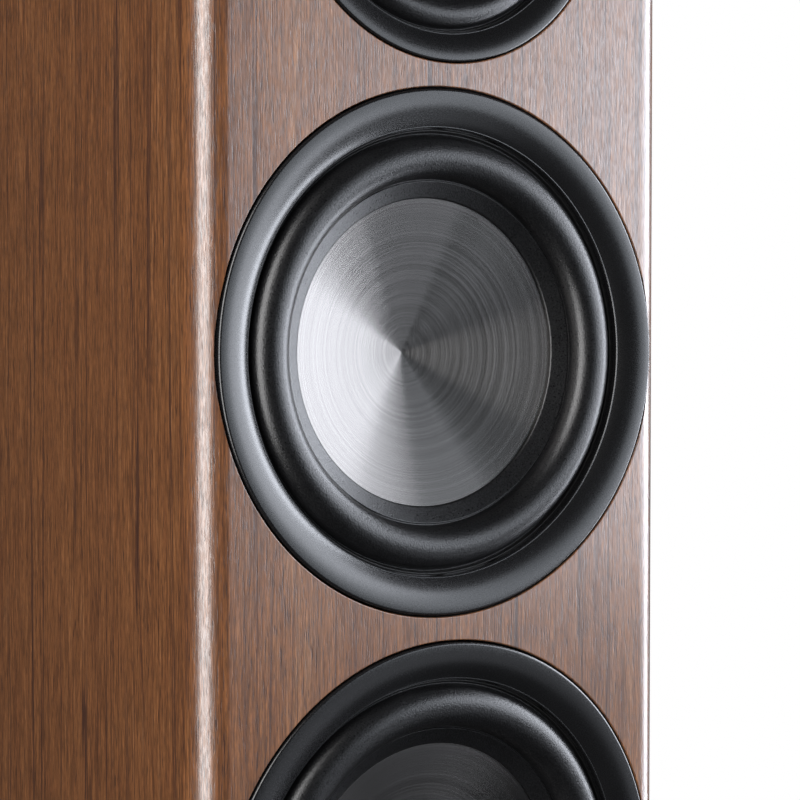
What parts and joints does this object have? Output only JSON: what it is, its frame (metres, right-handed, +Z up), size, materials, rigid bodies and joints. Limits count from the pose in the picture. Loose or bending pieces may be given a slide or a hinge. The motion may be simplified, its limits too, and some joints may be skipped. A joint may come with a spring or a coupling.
{
  "type": "floorstanding speaker",
  "caption": "Tall three-way loudspeaker with round-edged wooden cabinet, metal-coned drivers that move in and out, reflex ports, screw terminals and a plinth on adjustable feet.",
  "frame": {"origin": "on the floor under the middle of the plinth", "axes": "+Z up; the drivers face -Y; +X to the right seen from the front"},
  "size_m": [0.287, 0.41, 1.1473],
  "materials": {
    "walnut_veneer": "satin",
    "fibreboard": "matte",
    "wadding": "matte",
    "plinth_lacquer": "satin",
    "foot_steel": "satin",
    "driver_trim": "satin",
    "surround_rubber": "satin",
    "cone_aluminium": "satin",
    "copper_winding": "satin",
    "spider_cloth": "matte",
    "motor_steel": "satin",
    "ferrite": "matte",
    "basket_alloy": "matte",
    "motor_cover": "matte",
    "dome_cloth": "satin",
    "port_plastic": "satin",
    "terminal_plastic": "satin",
    "gold_contact": "polished",
    "cap_red": "gloss",
    "cap_black": "gloss",
    "circuit_board": "satin",
    "capacitor_film": "gloss"
  },
  "bodies": {
    "cabinet": {"woofer_upper_trim_ring": "driver_trim", "woofer_upper_surround": "surround_rubber", "woofer_upper_spider": "spider_cloth", "woofer_upper_front_plate": "motor_steel", "woofer_upper_magnet": "ferrite", "woofer_upper_pole_piece": "motor_steel", "woofer_upper_basket": "basket_alloy", "woofer_lower_trim_ring": "driver_trim", "woofer_lower_surround": "surround_rubber", "woofer_lower_spider": "spider_cloth", "woofer_lower_front_plate": "motor_steel", "woofer_lower_magnet": "ferrite", "woofer_lower_pole_piece": "motor_steel", "woofer_lower_basket": "basket_alloy", "midrange_trim_ring": "driver_trim", "midrange_surround": "surround_rubber", "midrange_spider": "spider_cloth", "midrange_front_plate": "motor_steel", "midrange_magnet": "ferrite", "midrange_pole_piece": "motor_steel", "midrange_basket": "basket_alloy", "front_baffle": "walnut_veneer", "side_panel_left": "walnut_veneer", "side_panel_right": "walnut_veneer", "rear_panel": "walnut_veneer", "top_panel": "walnut_veneer", "bottom_panel": "walnut_veneer", "chamber_shelf": "fibreboard", "middle_brace": "fibreboard", "lower_brace": "fibreboard", "chamber_wadding": "wadding", "plinth": "plinth_lacquer", "tweeter_faceplate": "driver_trim", "tweeter_motor": "motor_cover", "tweeter_surround": "surround_rubber", "port_upper": "port_plastic", "port_lower": "port_plastic", "terminal_plate": "terminal_plastic", "post_stud_red": "gold_contact", "post_stud_black": "gold_contact", "crossover_board": "circuit_board", "inductor_large": "copper_winding", "inductor_small": "copper_winding", "capacitor_large": "capacitor_film", "capacitor_small": "capacitor_film"},
    "woofer_upper_diaphragm": {"woofer_upper_cone": "cone_aluminium", "woofer_upper_voice_coil": "copper_winding"},
    "woofer_lower_diaphragm": {"woofer_lower_cone": "cone_aluminium", "woofer_lower_voice_coil": "copper_winding"},
    "midrange_diaphragm": {"midrange_cone": "cone_aluminium", "midrange_voice_coil": "copper_winding"},
    "tweeter_diaphragm": {"tweeter_dome": "dome_cloth"},
    "post_washer_red": {"post_washer_red": "gold_contact"},
    "post_cap_red": {"post_cap_red": "cap_red"},
    "post_washer_black": {"post_washer_black": "gold_contact"},
    "post_cap_black": {"post_cap_black": "cap_black"},
    "foot_front_left": {"foot_front_left": "foot_steel"},
    "foot_front_right": {"foot_front_right": "foot_steel"},
    "foot_rear_left": {"foot_rear_left": "foot_steel"},
    "foot_rear_right": {"foot_rear_right": "foot_steel"}
  },
  "joints": [
    {"name": "woofer_upper_excursion", "type": "slide", "parent": "cabinet", "child": "woofer_upper_diaphragm", "axis": [0, -1, 0], "range_m": [-0.006, 0.006], "stiffness_N_per_m": 1400, "deforming": ["woofer_upper_surround", "woofer_upper_spider"]},
    {"name": "woofer_lower_excursion", "type": "slide", "parent": "cabinet", "child": "woofer_lower_diaphragm", "axis": [0, -1, 0], "range_m": [-0.006, 0.006], "stiffness_N_per_m": 1400, "deforming": ["woofer_lower_surround", "woofer_lower_spider"]},
    {"name": "midrange_excursion", "type": "slide", "parent": "cabinet", "child": "midrange_diaphragm", "axis": [0, -1, 0], "range_m": [-0.004, 0.004], "stiffness_N_per_m": 2100, "deforming": ["midrange_surround", "midrange_spider"]},
    {"name": "tweeter_excursion", "type": "slide", "parent": "cabinet", "child": "tweeter_diaphragm", "axis": [0, -1, 0], "range_m": [-0.0003, 0.0003], "stiffness_N_per_m": 8000, "deforming": ["tweeter_surround"]},
    {"name": "post_travel_red", "type": "slide", "parent": "cabinet", "child": "post_washer_red", "axis": [0, 1, 0], "range_m": [0, 0.00501]},
    {"name": "post_turn_red", "type": "hinge", "parent": "post_washer_red", "child": "post_cap_red", "pos_m": [0.022, 0.18, 0.15], "axis": [0, 1, 0], "range_deg": [0, 1800]},
    {"name": "post_travel_black", "type": "slide", "parent": "cabinet", "child": "post_washer_black", "axis": [0, 1, 0], "range_m": [0, 0.00501]},
    {"name": "post_turn_black", "type": "hinge", "parent": "post_washer_black", "child": "post_cap_black", "pos_m": [-0.022, 0.18, 0.15], "axis": [0, 1, 0], "range_deg": [0, 1800]},
    {"name": "foot_height_front_left", "type": "slide", "parent": "cabinet", "child": "foot_front_left", "axis": [0, 0, -1], "range_m": [0, 0.01]},
    {"name": "foot_height_front_right", "type": "slide", "parent": "cabinet", "child": "foot_front_right", "axis": [0, 0, -1], "range_m": [0, 0.01]},
    {"name": "foot_height_rear_left", "type": "slide", "parent": "cabinet", "child": "foot_rear_left", "axis": [0, 0, -1], "range_m": [0, 0.01]},
    {"name": "foot_height_rear_right", "type": "slide", "parent": "cabinet", "child": "foot_rear_right", "axis": [0, 0, -1], "range_m": [0, 0.01]}
  ],
  "couplings": [
    {"joint": "post_travel_red", "follows": "post_turn_red", "m_per_rad": 0.00015915},
    {"joint": "post_travel_black", "follows": "post_turn_black", "m_per_rad": 0.00015915}
  ]
}
